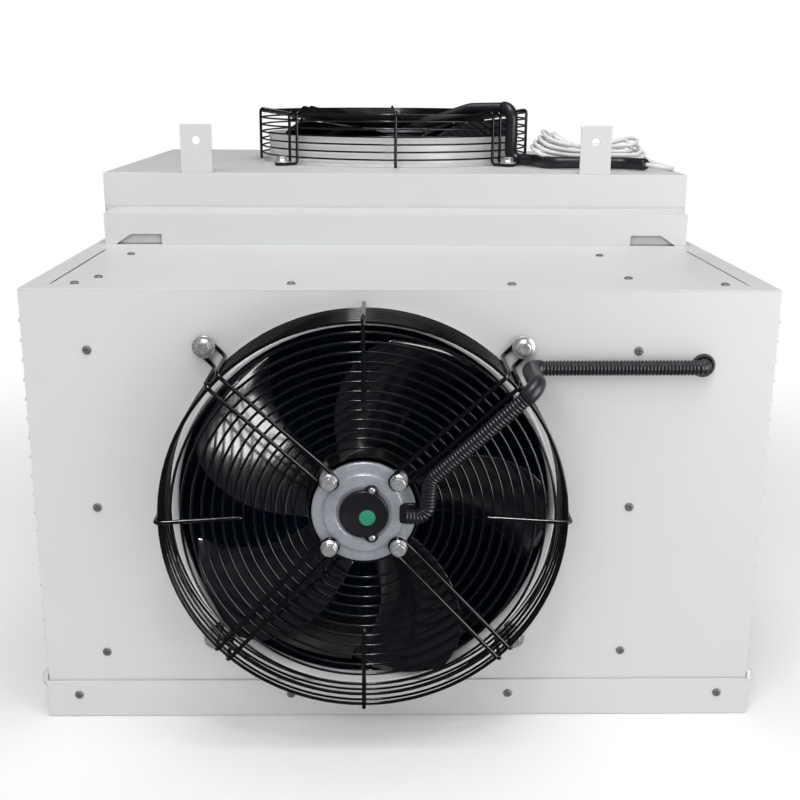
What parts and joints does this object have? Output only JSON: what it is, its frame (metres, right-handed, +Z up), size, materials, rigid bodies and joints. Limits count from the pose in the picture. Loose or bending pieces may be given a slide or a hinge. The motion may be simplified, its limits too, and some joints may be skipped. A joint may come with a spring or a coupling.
{
  "type": "wine cellar cooling unit",
  "caption": "Through-the-wall cellar cooler: cold casing with a guarded axial fan and drip tray, warm casing behind with a fan on its deck.",
  "frame": {"origin": "on the underside, at the middle of the width, where the cold and the warm section meet", "axes": "+X to the right seen from the cold side, +Y back through the wall to the warm side, +Z up"},
  "size_m": [0.7386, 0.9805, 0.6105],
  "materials": {
    "white_powder_coat": "satin off-white powder coat on folded steel sheet",
    "zinc_screw": "bright zinc-plated steel",
    "black_wire": "gloss black coating on welded steel wire",
    "black_blade": "black coated steel blades",
    "motor_housing": "cast aluminium, matt",
    "rotor_can": "black painted steel can on a steel shaft",
    "white_collar": "white coated drawn ring",
    "black_plastic": "matt black moulded plastic",
    "white_plastic": "white moulded plastic",
    "black_conduit": "black corrugated and smooth conduit",
    "black_rubber": "black rubber",
    "coil_fins": "thin aluminium fins on copper tubes",
    "copper": "bright copper tube",
    "galvanised": "galvanised sheet steel",
    "insulation": "closed-cell foam between thin skins",
    "compressor_black": "black painted welded shell",
    "white_lead": "white PVC-sheathed lead"
  },
  "bodies": {
    "root": {"base_pan": "galvanised", "bridge_cover": "white_powder_coat", "coil_end_plate_left": "galvanised", "coil_end_plate_right": "galvanised", "cold_casing_screws": "zinc_screw", "cold_side_left": "white_powder_coat", "cold_side_right": "white_powder_coat", "compressor": "compressor_black", "compressor_feet": "black_rubber", "condenser_end_plate_left": "galvanised", "condenser_end_plate_right": "galvanised", "condenser_fin_block": "coil_fins", "condenser_return_bends": "copper", "conduit_grommet": "black_rubber", "control_box": "galvanised", "deck_collar": "white_collar", "deck_conduit": "black_conduit", "deck_guard_bolts": "zinc_screw", "deck_guard_cage": "black_wire", "deck_guard_grille": "black_wire", "deck_lid": "white_powder_coat", "deck_motor_bolts": "zinc_screw", "deck_motor_conduit": "black_conduit", "deck_motor_stator": "motor_housing", "deck_rim_sleeve": "black_conduit", "discharge_pipes": "copper", "drain_pipe": "white_plastic", "drip_tray": "white_powder_coat", "evaporator_fin_block": "coil_fins", "evaporator_return_bends": "copper", "filter_drier": "copper", "front_collar": "white_collar", "front_face_conduit": "black_conduit", "front_guard_bolts": "zinc_screw", "front_guard_cage": "black_wire", "front_guard_grille": "black_wire", "front_motor_bolts": "zinc_screw", "front_motor_cap": "black_plastic", "front_motor_conduit": "black_conduit", "front_motor_stator": "motor_housing", "front_panel": "white_powder_coat", "front_rim_sleeve": "black_conduit", "insulated_bulkhead": "insulation", "lead_hank": "white_lead", "lead_run": "white_lead", "liquid_pipe": "copper", "rear_panel": "white_powder_coat", "suction_pipe": "copper", "top_cover": "white_powder_coat", "tray_thumb_screws": "white_plastic", "wall_ear_left": "white_powder_coat", "wall_ear_right": "white_powder_coat", "warm_casing_screws": "zinc_screw", "warm_front_wall": "white_powder_coat", "warm_side_left": "white_powder_coat", "warm_side_right": "white_powder_coat"},
    "front_impeller": {"front_rotor": "rotor_can", "front_blades": "black_blade"},
    "deck_impeller": {"deck_rotor": "rotor_can", "deck_blades": "black_blade"}
  },
  "joints": [
    {"name": "front_impeller_spin", "type": "hinge", "parent": "root", "child": "front_impeller", "pos_m": [-0.036, -0.37, 0.2405], "axis": [0, 1, 0], "continuous": true},
    {"name": "deck_impeller_spin", "type": "hinge", "parent": "root", "child": "deck_impeller", "pos_m": [0, 0.285, 0.526], "axis": [0, 0, 1], "continuous": true}
  ]
}
